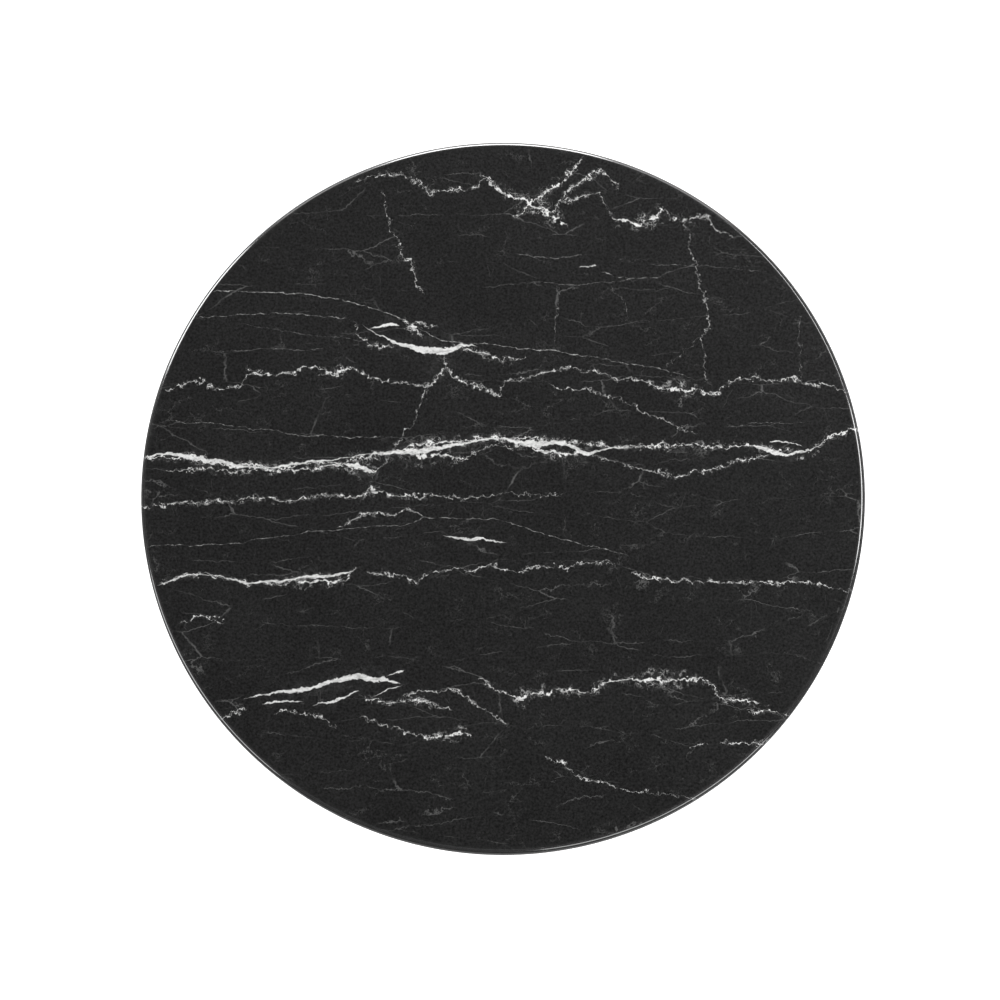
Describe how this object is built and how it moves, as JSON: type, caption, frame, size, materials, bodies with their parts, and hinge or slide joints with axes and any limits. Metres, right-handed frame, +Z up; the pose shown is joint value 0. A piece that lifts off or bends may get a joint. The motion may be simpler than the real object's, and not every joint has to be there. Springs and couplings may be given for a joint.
{
  "type": "round pedestal table",
  "caption": "Round table: a black marble-look disc top on a ballasted black trumpet pedestal with levelling feet that screw in and out.",
  "frame": {"origin": "on the floor, on the pedestal's axis, with the levelling feet fully screwed in", "axes": "+Z up through the centre of the top; +Y is the far side and +X the right in the main view"},
  "size_m": [0.914, 0.914, 0.749],
  "materials": {
    "marble": "satin face with white veins, polished edge",
    "board": "raw fibreboard",
    "laminate": "matte black laminate",
    "black_coat": "fine-textured satin black powder coat",
    "zinc": "bright zinc plate",
    "brass": "turned",
    "cast_iron": "as cast, dark primer",
    "rubber": "matte black",
    "nylon": "moulded black nylon"
  },
  "bodies": {
    "table": {"marble_skin": "marble", "tabletop_core": "board", "backer_sheet": "laminate", "mounting_plate": "black_coat", "plate_bolt_1": "zinc", "plate_bolt_2": "zinc", "plate_bolt_3": "zinc", "plate_bolt_4": "zinc", "plate_bolt_5": "zinc", "plate_bolt_6": "zinc", "threaded_insert_1": "brass", "threaded_insert_2": "brass", "threaded_insert_3": "brass", "threaded_insert_4": "brass", "threaded_insert_5": "brass", "threaded_insert_6": "brass", "column_tube": "black_coat", "tie_rod": "zinc", "tie_rod_washer": "zinc", "tie_rod_nut": "zinc", "upper_cover": "black_coat", "base_cover": "black_coat", "upper_collar": "black_coat", "upper_collar_screw": "zinc", "lower_collar": "black_coat", "lower_collar_screw": "zinc", "base_plate": "black_coat", "base_hub": "cast_iron", "hub_screw_1": "zinc", "hub_screw_2": "zinc", "hub_screw_3": "zinc", "ballast_ring": "cast_iron", "ballast_bolt_1": "zinc", "ballast_bolt_2": "zinc", "ballast_bolt_3": "zinc", "rim_seal": "rubber", "weld_nut_1": "zinc", "weld_nut_2": "zinc", "weld_nut_3": "zinc", "weld_nut_4": "zinc"},
    "pad_1": {"foot_pad_1": "nylon"},
    "pad_2": {"foot_pad_2": "nylon"},
    "pad_3": {"foot_pad_3": "nylon"},
    "pad_4": {"foot_pad_4": "nylon"},
    "stud_1": {"foot_stud_1": "zinc"},
    "stud_2": {"foot_stud_2": "zinc"},
    "stud_3": {"foot_stud_3": "zinc"},
    "stud_4": {"foot_stud_4": "zinc"}
  },
  "joints": [
    {"name": "foot_1_height", "type": "slide", "parent": "table", "child": "pad_1", "axis": [0, 0, -1], "range_m": [0, 0.01]},
    {"name": "foot_2_height", "type": "slide", "parent": "table", "child": "pad_2", "axis": [0, 0, -1], "range_m": [0, 0.01]},
    {"name": "foot_3_height", "type": "slide", "parent": "table", "child": "pad_3", "axis": [0, 0, -1], "range_m": [0, 0.01]},
    {"name": "foot_4_height", "type": "slide", "parent": "table", "child": "pad_4", "axis": [0, 0, -1], "range_m": [0, 0.01]},
    {"name": "foot_1_turn", "type": "hinge", "parent": "pad_1", "child": "stud_1", "pos_m": [0.15203, 0.15203, 0.02], "axis": [0, 0, -1], "range_deg": [0, 2880]},
    {"name": "foot_2_turn", "type": "hinge", "parent": "pad_2", "child": "stud_2", "pos_m": [-0.15203, 0.15203, 0.02], "axis": [0, 0, -1], "range_deg": [0, 2880]},
    {"name": "foot_3_turn", "type": "hinge", "parent": "pad_3", "child": "stud_3", "pos_m": [-0.15203, -0.15203, 0.02], "axis": [0, 0, -1], "range_deg": [0, 2880]},
    {"name": "foot_4_turn", "type": "hinge", "parent": "pad_4", "child": "stud_4", "pos_m": [0.15203, -0.15203, 0.02], "axis": [0, 0, -1], "range_deg": [0, 2880]}
  ],
  "couplings": [
    {"joint": "foot_1_height", "follows": "foot_1_turn", "m_per_rad": 0.00019894},
    {"joint": "foot_2_height", "follows": "foot_2_turn", "m_per_rad": 0.00019894},
    {"joint": "foot_3_height", "follows": "foot_3_turn", "m_per_rad": 0.00019894},
    {"joint": "foot_4_height", "follows": "foot_4_turn", "m_per_rad": 0.00019894}
  ]
}
